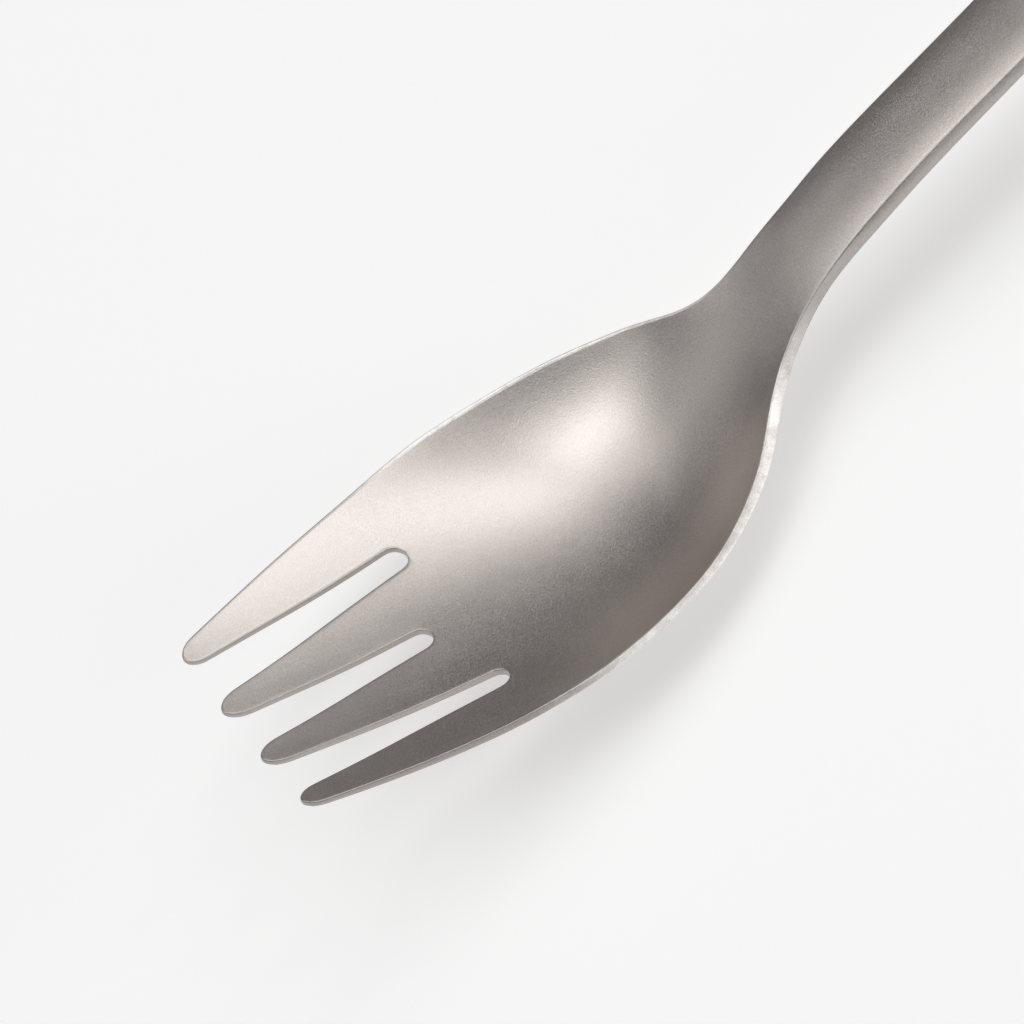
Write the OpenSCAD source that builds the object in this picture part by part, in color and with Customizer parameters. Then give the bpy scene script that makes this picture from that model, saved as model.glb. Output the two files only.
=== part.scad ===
// Four-tine camping spork, pressed from one blank of titanium sheet.
// X runs along it, with the tine tips at -X and the handle's end at +X, and Y across.
// It lies on the floor, Z = 0, on the belly of the bowl and on the handle's end.
// Places along the spork are measured from the tine tips, and heights from the floor.

/* [Length] */
// Whole length, from the tine tips to the handle's end
spork_l = 165; // [140:1:190]
// Tine tips to the deepest place of the bowl
belly_l = 43; // [38:0.5:47]
// Tine tips to the neck, where the bowl has narrowed into the handle
neck_l = 69; // [62:0.5:76]
// Tine tips to the highest place of the handle's arch
crest_l = 112; // [100:1:125]

/* [Bowl] */
// Widest place of the bowl
bowl_w = 38.5; // [32:0.5:44]
// Depth of the bowl below its rims
bowl_d = 7; // [4:0.5:10]
// Thickness of the bowl's sheet
bowl_t = 0.8; // [0.5:0.05:1.2]

/* [Tines] */
// Width over the two outer tines at their tips
tip_w = 26; // [22:0.2:30]
// Height of the tine tips on the middle line
tip_h = 17.8; // [12:0.2:24]
// Thickness of the tines at their tips
tip_t = 0.6; // [0.4:0.05:1]
// Length of a tine's rounded tip
nose_l = 2.2; // [1.6:0.1:5]
// How much shorter the two outer tines are
outer_back = 0.4; // [0:0.1:1.2]

/* [Slots] */
// Length of the two side slots, with their round ends
side_slot_l = 23; // [18:0.5:28]
// Length of the centre slot, with its round end
centre_slot_l = 19.8; // [15:0.2:24]
// Width of the slots at their round ends
slot_w = 2.7; // [2:0.1:4]
// Width of the side slots where they open between the tips
side_mouth_w = 5.1; // [4:0.1:6]
// Width of the centre slot where it opens between the tips
centre_mouth_w = 5; // [4:0.1:6]
// Middle line to the round end of a side slot
side_root_y = 10.2; // [9:0.1:11]
// Middle line to the middle of a side slot's mouth
side_mouth_y = 8; // [7:0.1:9]

/* [Neck and handle] */
// Width of the neck
neck_w = 11; // [9:0.1:14]
// Height of the neck's top face
neck_h = 12.1; // [9:0.1:15]
// Thickness of the neck
neck_t = 1.35; // [1:0.05:2]
// Width of the handle where it is narrowest
waist_w = 9.9; // [8:0.1:13]
// Height of the handle's arch
crest_h = 16.2; // [12:0.1:20]
// Width of the handle near its rounded end
end_w = 12.6; // [10:0.1:17]
// Length of the handle's rounded end
end_l = 6.8; // [5:0.1:9]
// Thickness of the handle
handle_t = 1.3; // [1:0.05:2]
// Height of the crown across the handle
crown_h = 0.36; // [0.1:0.02:0.6]
// Angle by which the handle's sides lean outwards towards the underside, in degrees
side_lean = 15; // [0:1:25]
// How far the handle's sides bulge outwards halfway down
side_bulge = 0.18; // [0:0.02:0.3]
// Length past the neck over which the crown and the rounded sides begin
neck_run = 11; // [6:1:16]

/* [Hidden] */

// Steps of the mesh: across one tine, round a tip, along each stretch, round a slot's end
across_steps = 5;
nose_steps = 4;
tine_steps = 8;
root_steps = 6;
bowl_steps = 34;
handle_steps = 24;
end_steps = 6;
strips = 4;

// Centres of the round slot ends
root_r = slot_w / 2;
side_root_l = side_slot_l - root_r;
centre_root_l = centre_slot_l - root_r;

// Start of the handle's rounded end
end_start = spork_l - end_l;
// Short step for reading slopes off the shape
slope_step = waist_w / 500;

// How the rim leaves the middle of the bowl: a little flatter at the bottom than a parabola
rim_power = 2.2;
// How the crown falls from the middle of the handle to its sides
crown_power = 3;
// How near the handle's sides their lean and bulge are
lean_power = 6;
// How the arch leaves its crest
arch_power = 1.8;

// Half width from the tips to the neck: place as a share of neck_l, width of the bowl's half
side_shares = [
    [0.087, 0.768], [0.174, 0.851], [0.26, 0.918], [0.35, 0.97], [0.44, 0.999], [0.525, 0.979],
    [0.61, 0.927], [0.68, 0.851], [0.74, 0.748], [0.797, 0.622], [0.855, 0.452], [0.913, 0.343]
];
// Middle line from the tips to the belly: place as a share of belly_l, height of the tips'
tine_shares = [[0, 1], [0.186, 0.78], [0.372, 0.583], [0.558, 0.391], [0.744, 0.184], [0.884, 0.044]];
// Middle line from the belly to the neck: shares of the way and of the climb
back_shares = [[0, 0], [0.27, 0.123], [0.5, 0.381], [0.73, 0.689]];
// Middle line from the neck to the crest: shares of the way and of the climb
arch_shares = [
    [0, 0], [0.116, 0.355], [0.21, 0.562], [0.37, 0.754], [0.49, 0.825], [0.72, 0.918], [1, 1]
];
// Narrowing of the handle past the neck: shares of the way to the crest and of the narrowing
waist_shares = [[0, 0], [0.12, 0.68], [0.23, 0.8], [0.4, 0.96], [0.65, 1]];
// The crown past the neck: shares of the way to the crest and of the crown's height
crown_shares = [[0, 0.28], [0.12, 0.8], [0.25, 1]];
// From the crest to the handle's end
fall_shares = [0.25, 0.5, 0.75, 1];
// Rise of the rims over the middle line: shares of belly_l and of bowl_d
tine_rise_shares = [[0, 0.14], [0.28, 0.345], [0.51, 0.495], [0.744, 0.807], [0.93, 1]];
// The same from the belly to the neck
back_rise_shares = [[0.15, 0.87], [0.385, 0.553], [0.615, 0.215], [0.885, 0.016]];
// Widening of a slot from its round end to its mouth: shares of its length and of the widening
mouth_shares = [[0, 0], [0.33, 0.235], [0.67, 0.67], [1, 1]];
// Where the sheet reaches the bowl's thickness: share of belly_l
thin_share = 0.56;
// Where it reaches the neck's: share of the way from the belly to the neck
thick_share = 0.7;
// Half way from the crest to the handle's rounded end: share of the handle's widening
widen_share = 0.45;

// Natural cubic spline: each point's bend is found once, then the curve is read at any place
function sweep(p, i, rows) =
    i > len(p) - 2 ? rows : let (
        before = p[i][0] - p[i - 1][0],
        after = p[i + 1][0] - p[i][0],
        change = 6 * ((p[i + 1][1] - p[i][1]) / after - (p[i][1] - p[i - 1][1]) / before),
        last = rows[i - 1],
        divisor = 2 * (before + after) - before * last[0]
    ) sweep(p, i + 1, concat(rows, [[after / divisor, (change - before * last[1]) / divisor]]));
function unwind(rows, i, bends) =
    i < 1 ? concat([0], bends)
    : unwind(rows, i - 1, concat([rows[i][1] - rows[i][0] * bends[0]], bends));
function curve(p) = [p, unwind(sweep(p, 1, [[0, 0]]), len(p) - 2, [0])];
function stretch(p, x, i = 0) = i > len(p) - 3 || x < p[i + 1][0] ? i : stretch(p, x, i + 1);
function read(curve, x) = let (
    i = stretch(curve[0], x),
    low = curve[0][i],
    high = curve[0][i + 1],
    width = high[0] - low[0],
    b = (x - low[0]) / width,
    a = 1 - b
) a * low[1] + b * high[1]
    + ((a ^ 3 - a) * curve[1][i] + (b ^ 3 - b) * curve[1][i + 1]) * width ^ 2 / 6;

function between(a, b, share) = a + (b - a) * share;
// Points of a curve, from shares between two places and two values
function spread(shares, from, to) =
    [for (s = shares) [between(from[0], to[0], s[0]), between(from[1], to[1], s[1])]];
// Smooth start and stop between 0 and 1
function ease(share) = let (s = max(0, min(1, share))) s * s * (3 - 2 * s);

// Outline seen from above: half width at each place along the spork
outline = curve(concat(
    [[0, tip_w / 2]],
    spread(side_shares, [0, 0], [neck_l, bowl_w / 2]),
    spread(waist_shares, [neck_l, neck_w / 2], [crest_l, waist_w / 2]),
    [[(crest_l + end_start) / 2, between(waist_w, end_w, widen_share) / 2], [end_start, end_w / 2]]
));

// The handle's end stands on the floor with its lower edge
end_h = crown_h + handle_t * cos(side_lean);

// Top face on the middle line
middle = curve(concat(
    spread(tine_shares, [0, bowl_t], [belly_l, tip_h]),
    spread(back_shares, [belly_l, bowl_t], [neck_l, neck_h]),
    spread(arch_shares, [neck_l, neck_h], [crest_l, crest_h]),
    [for (s = fall_shares)
        [between(crest_l, spork_l, s), between(crest_h, end_h, s ^ arch_power)]]
));

// Rise of the edges over the middle line
rise = curve(concat(
    spread(tine_rise_shares, [0, 0], [belly_l, bowl_d]),
    spread(back_rise_shares, [belly_l, 0], [neck_l, bowl_d]),
    spread(crown_shares, [neck_l, 0], [crest_l, -crown_h]),
    [[crest_l, -crown_h], [spork_l, -crown_h]]
));

thickness = curve([
    [0, tip_t], [belly_l * thin_share, bowl_t], [belly_l, bowl_t],
    [between(belly_l, neck_l, thick_share), neck_t], [crest_l, handle_t], [spork_l, handle_t]
]);

mouth = curve(mouth_shares);

function half_width(x) = read(outline, x);

// 0 on the middle line and 1 on the edge, also round the handle's end
function level(x, y) = sqrt((max(0, x - end_start) / end_l) ^ 2 + (y / half_width(x)) ^ 2);

// 0 up to the neck and 1 along the handle
function handled(x) = ease((x - neck_l) / neck_run);

function height(x, y) =
    read(middle, x) + read(rise, x) * level(x, y) ^ between(rim_power, crown_power, handled(x));

// Half width of a slot: round at its end, wider towards its mouth
function gap(x, root_l, mouth_w) =
    x > root_l ? sqrt(max(0, root_r ^ 2 - (x - root_l) ^ 2))
    : between(slot_w, mouth_w, read(mouth, 1 - x / root_l)) / 2;
// Middle of a side slot, carried on through the bowl and the handle
function side_line(x) =
    x < side_root_l ? between(side_root_y, side_mouth_y, 1 - x / side_root_l)
    : x < side_slot_l ? side_root_y
    : half_width(x) * side_root_y / half_width(side_slot_l);

// The sheet is four strips, one behind each tine. Inner and outer edge of one of them
function edges(x, outer) = let (
    line = side_line(x),
    side_gap = gap(x, side_root_l, side_mouth_w)
) outer ? [line + side_gap, half_width(x)]
    : [gap(x, centre_root_l, centre_mouth_w), line - side_gap];

// Rows of points across the spork, from the tips to the handle's end
function run(steps, from, to) = [for (i = [1:steps]) ["straight", between(from, to, i / steps)]];
function root_run(root_l) =
    [for (i = [1:root_steps]) ["straight", root_l + root_r * sin(90 * i / root_steps)]];
start_rows = concat(
    [for (i = [nose_steps:-1:0]) ["nose", i / nose_steps]],
    run(tine_steps, nose_l, centre_root_l),
    root_run(centre_root_l)
);
side_rows = concat(
    run(2, centre_slot_l, side_root_l),
    root_run(side_root_l)
);
centre_join = len(start_rows) - 1;
side_join = centre_join + len(side_rows);
rows = concat(
    start_rows, side_rows,
    run(bowl_steps, side_slot_l, neck_l + neck_run),
    run(handle_steps, neck_l + neck_run, end_start),
    [for (i = [1:end_steps]) ["end", i / end_steps]]
);

// Place of a point seen from above. v runs from -1 to 1 across the strip.
// Round a tip and round the handle's end the rows bend from straight to an arc.
function plan(row, strip, v) = let (
    side = strip < 2 ? -1 : 1,
    outer = strip == 0 || strip == 3,
    bend = row[0] == "straight" ? 0 : row[1],
    nose = outer ? nose_l - outer_back : nose_l,
    x0 = row[0] == "straight" ? row[1]
        : row[0] == "nose" ? nose_l - nose * bend * sqrt(1 - v * v / 2)
        : end_start,
    narrow = row[0] == "nose" ? sqrt(1 - bend * bend / 2) : 1,
    e = edges(x0, outer),
    y0 = side * (e[0] + e[1]) / 2 + (e[1] - e[0]) / 2 * v * narrow,
    share = y0 / half_width(end_start),
    x1 = end_start + end_l * bend * sqrt(1 - share * share / 2)
) row[0] == "end" ? [x1, half_width(x1) * share * sqrt(1 - bend * bend / 2)] : [x0, y0];

// Way out of the handle, seen from above, to its side or to its rounded end
function outwards(x, y) = let (
    way = [max(0, x - end_start) / end_l ^ 2, y / half_width(x) ^ 2] * spork_l
) way / max(norm(way), 1);

// Point of the top face, the one below it and the one halfway. They lie straight through the
// sheet or, at the handle's sides, along the lean and out on the bulge
function column(x, y) = let (
    slope = [
        (height(x + slope_step, y) - height(x - slope_step, y)) / (2 * slope_step),
        (height(x, y + slope_step) - height(x, y - slope_step)) / (2 * slope_step)
    ],
    out = outwards(x, y),
    near_side = handled(x) * level(x, y) ^ lean_power,
    through = concat(out * (slope * out - tan(side_lean)) * near_side - slope, [1]),
    top = [x, y, height(x, y)],
    down = through / norm(through) * read(thickness, x)
) [top, top - down, top - down / 2 + concat(out, [0]) * side_bulge * near_side];

columns = [for (row = rows) for (strip = [0:strips - 1]) for (i = [0:across_steps])
    let (p = plan(row, strip, 2 * i / across_steps - 1)) column(p[0], p[1])];
count = len(columns);
last_row = len(rows) - 1;

// Two strips share the points of their border once the slot between them has ended
function join_row(border) = border == 2 ? centre_join : side_join;
function shared(j, strip, i) = i == 0 && strip > 0 && j >= join_row(strip);
function point(j, strip, i) =
    (j * strips + strip) * (across_steps + 1) + i - (shared(j, strip, i) ? 1 : 0);

function square(a, b, c, d) = [[a, b, c], [a, c, d]];
function top_square(j, strip, i) = let (
    a = point(j, strip, i), b = point(j + 1, strip, i),
    c = point(j + 1, strip, i + 1), d = point(j, strip, i + 1)
) strip < 2 ? square(b, a, d, c) : square(a, d, c, b);
// Cut edge, in two rows: from the top face to halfway and on to the underside
function wall(a, b) = let (halfway = 2 * count)
    concat(square(a, b, b + halfway, a + halfway),
        square(a + halfway, b + halfway, b + count, a + count));

faces = [
    for (j = [0:last_row - 1]) for (strip = [0:strips - 1]) for (i = [0:across_steps - 1])
        for (t = top_square(j, strip, i)) each [t, [t[2], t[1], t[0]] + count * [1, 1, 1]],
    for (strip = [0:strips - 1])
        for (j = [0:(strip == 0 ? last_row : join_row(strip)) - 1])
            each wall(point(j, strip, 0), point(j + 1, strip, 0)),
    for (strip = [0:strips - 1])
        for (j = [0:(strip == strips - 1 ? last_row : join_row(strip + 1)) - 1])
            each wall(point(j + 1, strip, across_steps), point(j, strip, across_steps)),
    for (strip = [0:strips - 1]) for (i = [0:across_steps - 1])
        each wall(point(0, strip, i + 1), point(0, strip, i)),
    for (strip = [0:strips - 1]) for (i = [0:across_steps - 1])
        each wall(point(last_row, strip, i), point(last_row, strip, i + 1))
];

// Points put down on the floor, with the origin under the middle of the spork
points = [for (k = [0:2]) for (c = columns) c[k]];
places = [for (p = points) p[0]];
origin = [(min(places) + max(places)) / 2, 0, min([for (p = points) p[2]])];

module spork() {
    color([0.62, 0.6, 0.57]) polyhedron(points = [for (p = points) p - origin], faces = faces);
}

spork();
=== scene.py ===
"""A four-tine camping spork of blasted titanium, lying on a white table.

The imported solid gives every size. This file gives the spork its rounded, ground edges and its
blasted surface, and sets the table, the lamps and the camera round it. Everything is in metres.
"""

from math import pi, radians

import bmesh
import bpy
from mathutils import Matrix, Vector


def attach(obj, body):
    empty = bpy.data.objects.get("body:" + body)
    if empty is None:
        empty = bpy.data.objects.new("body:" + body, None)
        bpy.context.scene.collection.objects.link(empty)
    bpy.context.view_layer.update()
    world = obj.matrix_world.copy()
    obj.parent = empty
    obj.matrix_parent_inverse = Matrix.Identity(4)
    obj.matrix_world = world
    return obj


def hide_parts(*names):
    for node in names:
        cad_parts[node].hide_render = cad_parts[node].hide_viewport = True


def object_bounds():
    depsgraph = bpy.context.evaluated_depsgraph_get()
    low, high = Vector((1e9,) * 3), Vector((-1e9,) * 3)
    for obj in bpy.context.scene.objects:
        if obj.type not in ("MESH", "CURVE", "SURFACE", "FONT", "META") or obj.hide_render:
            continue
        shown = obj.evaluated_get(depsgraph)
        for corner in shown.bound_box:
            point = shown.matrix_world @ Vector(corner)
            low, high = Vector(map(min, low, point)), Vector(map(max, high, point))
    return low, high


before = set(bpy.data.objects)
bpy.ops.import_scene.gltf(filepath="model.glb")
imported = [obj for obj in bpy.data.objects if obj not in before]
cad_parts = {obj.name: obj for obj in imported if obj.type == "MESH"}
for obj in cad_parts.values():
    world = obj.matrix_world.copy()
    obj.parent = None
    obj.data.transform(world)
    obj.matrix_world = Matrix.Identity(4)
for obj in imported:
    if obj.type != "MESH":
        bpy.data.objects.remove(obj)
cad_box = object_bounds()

# Camera
# A long lens looks down on the bowl from one side, turned so that the handle runs out of the
# frame at the upper right. Its place follows the tine tips, which are at the spork's low X end.
tip_allowance = 0.0002
tips_x = cad_box[0][0] + tip_allowance
looked_at_from_tips = 0.060
looked_at_height = 0.0057
looked_at = Vector((tips_x + looked_at_from_tips, 0, looked_at_height))
camera_heading = radians(4.484)
camera_height = radians(48.509)
camera_roll = radians(-47.245)
camera_distance = 1.17517
camera_slide = Vector((-0.022741, -0.014398, 0))
pixels_per_metre = 10218
frame_pixels = 1024

camera_turn = (Matrix.Rotation(camera_heading, 3, "Z")
               @ Matrix.Rotation(radians(90) - camera_height, 3, "X")
               @ Matrix.Rotation(camera_roll, 3, "Z"))
bpy.ops.object.select_all(action="DESELECT")
bpy.ops.object.camera_add(
    location=looked_at + camera_turn @ (camera_slide + Vector((0, 0, camera_distance))),
    rotation=camera_turn.to_euler())
camera = bpy.context.object
camera.name = "camera"
camera.data.sensor_width = 36
camera.data.lens = camera.data.sensor_width * pixels_per_metre * camera_distance / frame_pixels
camera.data.clip_start = 0.05
camera.data.clip_end = 20
bpy.context.scene.camera = camera

# Spork
# One blank of titanium sheet, cut out and pressed in a die, which rounds the handle's sides. The
# cut edges are ground round afterwards, and the whole piece is blasted with fine beads.
pressed_round = 0.00021
ground_share = 0.64
corner_angle = radians(20)
same_point = 1e-6
slots_end_from_tips = 0.022
slots_end_x = tips_x + slots_end_from_tips
neck_from_tips = 0.070
neck_x = tips_x + neck_from_tips
neck_run = 0.012

titanium_grey = (0.635, 0.586, 0.554, 1)
titanium_roughness = 0.38
titanium_dimple = 0.000014
ground_grey = (0.5, 0.463, 0.438, 1)
ground_roughness = 0.45
ground_dimple = 0.00001
# Painted highlight on the bowl's rim edge: a brighter colour in uneven streaks, faded in past the
# slots and out before the neck, standing in for the mirrored table, partly brighter ground metal
rim_highlight_colour = (0.95, 0.915, 0.88, 1)
rim_highlight_fade = 0.01
highlight_streak_noise = (0.35, 0.6)
faintest_highlight_streak = 0.65


def noise(tree, scale, detail, roughness):
    """Noise that lies still on the piece."""
    place = tree.nodes.new("ShaderNodeTexCoord")
    texture = tree.nodes.new("ShaderNodeTexNoise")
    texture.inputs["Scale"].default_value = scale
    texture.inputs["Detail"].default_value = detail
    texture.inputs["Roughness"].default_value = roughness
    tree.links.new(place.outputs["Object"], texture.inputs["Vector"])
    return texture.outputs["Fac"]


def ramp(tree, source, span, result):
    """The source carried from one span of values to another, and held at its ends."""
    node = tree.nodes.new("ShaderNodeMapRange")
    for name, value in zip(("From Min", "From Max", "To Min", "To Max"), (*span, *result)):
        node.inputs[name].default_value = value
    tree.links.new(source, node.inputs["Value"])
    return node.outputs["Result"]


def maths(tree, operation, first, second):
    """The sum, product or larger of two values. Each is a number or comes from another node."""
    node = tree.nodes.new("ShaderNodeMath")
    node.operation = operation
    for socket, value in zip(node.inputs, (first, second)):
        if isinstance(value, (int, float)):
            socket.default_value = value
        else:
            tree.links.new(value, socket)
    return node.outputs["Value"]


def blasted_group():
    """Colour, roughness and height of a bead-blasted face: tiny dimples and soft cloudy patches."""
    dimple_shades = (0.88, 1.105)
    dimple_roughness = (-0.06, 0.06)
    cloud_shades = (0.97, 1.03)
    cloud_roughness = (-0.015, 0.015)
    speck_shades = (1, 1.15)
    speck_height_share = 0.5
    most_noise = (0.3, 0.7)
    rare_noise = (0.6, 0.75)

    group = bpy.data.node_groups.new("bead_blasting", "ShaderNodeTree")
    sockets = group.interface
    sockets.new_socket("Colour", in_out="INPUT", socket_type="NodeSocketColor")
    sockets.new_socket("Roughness", in_out="INPUT", socket_type="NodeSocketFloat")
    sockets.new_socket("Colour", in_out="OUTPUT", socket_type="NodeSocketColor")
    sockets.new_socket("Roughness", in_out="OUTPUT", socket_type="NodeSocketFloat")
    sockets.new_socket("Height", in_out="OUTPUT", socket_type="NodeSocketFloat")
    given = group.nodes.new("NodeGroupInput")
    result = group.nodes.new("NodeGroupOutput")

    dimples = noise(group, scale=6500, detail=1, roughness=0.6)
    specks = noise(group, scale=7500, detail=1, roughness=0.5)
    clouds = noise(group, scale=160, detail=4, roughness=0.55)

    shade = maths(group, "MULTIPLY", ramp(group, dimples, most_noise, dimple_shades),
                  ramp(group, clouds, most_noise, cloud_shades))
    shade = maths(group, "MULTIPLY", shade, ramp(group, specks, rare_noise, speck_shades))
    tint = group.nodes.new("ShaderNodeVectorMath")
    tint.operation = "SCALE"
    group.links.new(given.outputs["Colour"], tint.inputs[0])
    group.links.new(shade, tint.inputs["Scale"])
    group.links.new(tint.outputs["Vector"], result.inputs["Colour"])

    rough = maths(group, "ADD", given.outputs["Roughness"],
                  ramp(group, dimples, most_noise, dimple_roughness))
    rough = maths(group, "ADD", rough, ramp(group, clouds, most_noise, cloud_roughness))
    group.links.new(rough, result.inputs["Roughness"])
    height = maths(group, "ADD", dimples, maths(group, "MULTIPLY", specks, speck_height_share))
    group.links.new(height, result.inputs["Height"])
    return group


def titanium(name, group, colour, roughness, dimple_height):
    """Bare titanium with the given finish."""
    material = bpy.data.materials.new(name)
    material.use_nodes = True
    nodes = material.node_tree.nodes
    links = material.node_tree.links
    shader = nodes["Principled BSDF"]
    shader.inputs["Metallic"].default_value = 1
    finish = nodes.new("ShaderNodeGroup")
    finish.name = group.name
    finish.node_tree = group
    finish.inputs["Colour"].default_value = colour
    finish.inputs["Roughness"].default_value = roughness
    bump = nodes.new("ShaderNodeBump")
    bump.inputs["Strength"].default_value = 1
    bump.inputs["Distance"].default_value = dimple_height
    links.new(finish.outputs["Colour"], shader.inputs["Base Color"])
    links.new(finish.outputs["Roughness"], shader.inputs["Roughness"])
    links.new(finish.outputs["Height"], bump.inputs["Height"])
    links.new(bump.outputs["Normal"], shader.inputs["Normal"])
    return material


def paint_rim_highlight(material, group, colour):
    """Painted highlight: brighter, uneven colour on the cut edge along the rim of the bowl,
    standing in for the bright table that this edge mirrors, and partly the brighter metal where the
    most is ground away.
    """
    tree = material.node_tree
    place = tree.nodes.new("ShaderNodeTexCoord")
    along = tree.nodes.new("ShaderNodeSeparateXYZ")
    tree.links.new(place.outputs["Object"], along.inputs["Vector"])
    past_slots = ramp(tree, along.outputs["X"], (slots_end_x, slots_end_x + rim_highlight_fade), (0, 1))
    before_neck = ramp(tree, along.outputs["X"], (neck_x - rim_highlight_fade, neck_x), (1, 0))
    highlight_streaks = ramp(tree, noise(tree, scale=900, detail=3, roughness=0.5), highlight_streak_noise,
                   (faintest_highlight_streak, 1))
    share = maths(tree, "MULTIPLY", maths(tree, "MULTIPLY", past_slots, before_neck), highlight_streaks)
    finish = tree.nodes[group.name]
    mix = tree.nodes.new("ShaderNodeMix")
    mix.data_type = "RGBA"
    mix.inputs["A"].default_value = finish.inputs["Colour"].default_value
    mix.inputs["B"].default_value = colour
    tree.links.new(share, mix.inputs["Factor"])
    tree.links.new(mix.outputs["Result"], finish.inputs["Colour"])


blasting = blasted_group()
blasted_titanium = titanium(
    "blasted_titanium", blasting, titanium_grey, titanium_roughness, titanium_dimple)
# The ground edges' finish. Along the bowl's rim it also carries a painted highlight, brighter in
# uneven streaks
ground_titanium = titanium(
    "ground_titanium_edge", blasting, ground_grey, ground_roughness, ground_dimple)
paint_rim_highlight(ground_titanium, blasting, rim_highlight_colour)

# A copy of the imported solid, without the labels that the frame puts on its own nodes
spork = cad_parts["spork"].copy()
spork.data = spork.data.copy()
spork.name = "pressed_spork"
for label in list(spork.keys()):
    del spork[label]
bpy.context.collection.objects.link(spork)
spork.parent = None
bpy.ops.object.select_all(action="DESELECT")
spork.select_set(True)
bpy.context.view_layer.objects.active = spork
spork.data.materials.clear()
spork.data.materials.append(blasted_titanium)
spork.data.materials.append(ground_titanium)
edge_slot = 1

# Its triangles become one skin, mostly of four-sided faces, none folded over a sharp corner
bpy.ops.object.mode_set(mode="EDIT")
bpy.ops.mesh.select_all(action="SELECT")
bpy.ops.mesh.remove_doubles(threshold=same_point)
bpy.ops.mesh.tris_convert_to_quads(face_threshold=corner_angle, shape_threshold=radians(75))

# The top and the underside are what a smooth way leads to from two spots on the middle line of
# the handle, one above the other. All that is left is the cut edge.
spot_x = 0.02
spot_reach_x = 0.004
spot_reach_y = 0.002
bpy.ops.mesh.select_all(action="DESELECT")
bpy.ops.mesh.select_mode(type="FACE")
skin = bmesh.from_edit_mesh(spork.data)
for face in skin.faces:
    middle = face.calc_center_median()
    if abs(middle.x - spot_x) < spot_reach_x and abs(middle.y) < spot_reach_y:
        face.select = True
bmesh.update_edit_mesh(spork.data)
bpy.ops.mesh.faces_select_linked_flat(sharpness=corner_angle)
bpy.ops.mesh.select_all(action="INVERT")
spork.active_material_index = edge_slot
bpy.ops.object.material_slot_assign()

# Its corners are ground a little round. Pressing leaves the handle's upper ones rounder.
roundness = skin.edges.layers.float.new("bevel_weight_edge")
for edge in skin.edges:
    if len({face.material_index for face in edge.link_faces}) == 2:
        corner = edge.verts[0]
        pressed = min(max((corner.co.x - neck_x) / neck_run, 0), 1) if corner.normal.z > 0 else 0
        edge[roundness] = ground_share + (1 - ground_share) * pressed
bmesh.update_edit_mesh(spork.data)
bpy.ops.object.mode_set(mode="OBJECT")

rounding = spork.modifiers.new("rounded_corners", "BEVEL")
rounding.width = pressed_round
rounding.segments = 3
rounding.use_clamp_overlap = False
rounding.limit_method = "WEIGHT"
rounding.material = edge_slot
bpy.ops.object.modifier_apply(modifier=rounding.name)
smoothing = spork.modifiers.new("fine_skin", "SUBSURF")
smoothing.levels = 1
smoothing.render_levels = 1
bpy.ops.object.modifier_apply(modifier=smoothing.name)
bpy.ops.object.shade_smooth()

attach(spork, "root")
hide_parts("spork")

# Table
# A wide sheet, plain and matt, with the spork's shadow on it. It is a pale grey that glows by
# itself, so that it looks white to the camera and in the metal that mirrors it.
table_size = 6
table_grey = (0.6, 0.6, 0.6, 1)
table_roughness = 0.8
table_glow = 0.465

bpy.ops.object.select_all(action="DESELECT")
bpy.ops.mesh.primitive_plane_add(size=table_size, location=(0, 0, 0))
table = bpy.context.object
table.name = "table"
table_white = bpy.data.materials.new("table_white")
table_white.use_nodes = True
sheet = table_white.node_tree
matt = sheet.nodes["Principled BSDF"]
matt.inputs["Base Color"].default_value = table_grey
matt.inputs["Roughness"].default_value = table_roughness
ray = sheet.nodes.new("ShaderNodeLightPath").outputs
seen = maths(sheet, "MAXIMUM", ray["Is Camera Ray"], ray["Is Glossy Ray"])
seen = maths(sheet, "MAXIMUM", seen, ray["Is Transmission Ray"])
glow = maths(sheet, "MULTIPLY", seen, table_glow)
matt.inputs["Emission Color"].default_value = (1, 1, 1, 1)
sheet.links.new(glow, matt.inputs["Emission Strength"])
table.data.materials.append(table_white)

# Lamps
# A bank of square soft boxes stands a metre off, round the side that the camera looks from. The
# brightest hang to its left and above the far rim. The room round them is dim.
box_size = 0.46
box_distance = 1
room_light = 0.11


def soft_box(name, direction, brightness):
    """An area lamp aimed at the bowl. Direction is right, up and back as the camera sees it, and
    brightness is what a white surface that fills the view would have."""
    away = Vector(direction).normalized()
    across = Vector((0, 1, 0)).cross(away).normalized()
    turn = camera_turn @ Matrix((across, away.cross(across), away)).transposed()
    bpy.ops.object.light_add(
        type="AREA", location=looked_at + turn @ Vector((0, 0, box_distance)),
        rotation=turn.to_euler())
    lamp = bpy.context.object
    lamp.name = name
    lamp.data.shape = "SQUARE"
    lamp.data.size = box_size
    lamp.data.energy = brightness * pi * box_size * box_size


soft_box("left_key", (-0.46, 0.29, 0.84), 2)
soft_box("left_low", (-0.73, 0.04, 0.68), 2)
soft_box("left_side", (-0.92, 0.29, 0.28), 0.75)
soft_box("left_level", (-0.99, -0.11, -0.11), 0.5)
soft_box("left_far", (-0.66, 0.55, 0.51), 0.7)
soft_box("far_key", (-0.02, 0.83, 0.56), 2)
soft_box("far_left", (-0.37, 0.84, 0.39), 0.65)
soft_box("far_low", (0.1, 0.97, 0.2), 1.4)
soft_box("high_key", (-0.3, 0.58, 0.76), 1.2)
soft_box("right_low", (0.43, -0.16, 0.89), 1.5)
soft_box("right_side", (0.74, 0.23, 0.63), 2.3)

world = bpy.data.worlds.new("room")
bpy.context.scene.world = world
world.use_nodes = True
room = world.node_tree.nodes["Background"]
room.inputs["Color"].default_value = (1, 1, 1, 1)
room.inputs["Strength"].default_value = room_light

bpy.context.scene.view_settings.view_transform = "Standard"
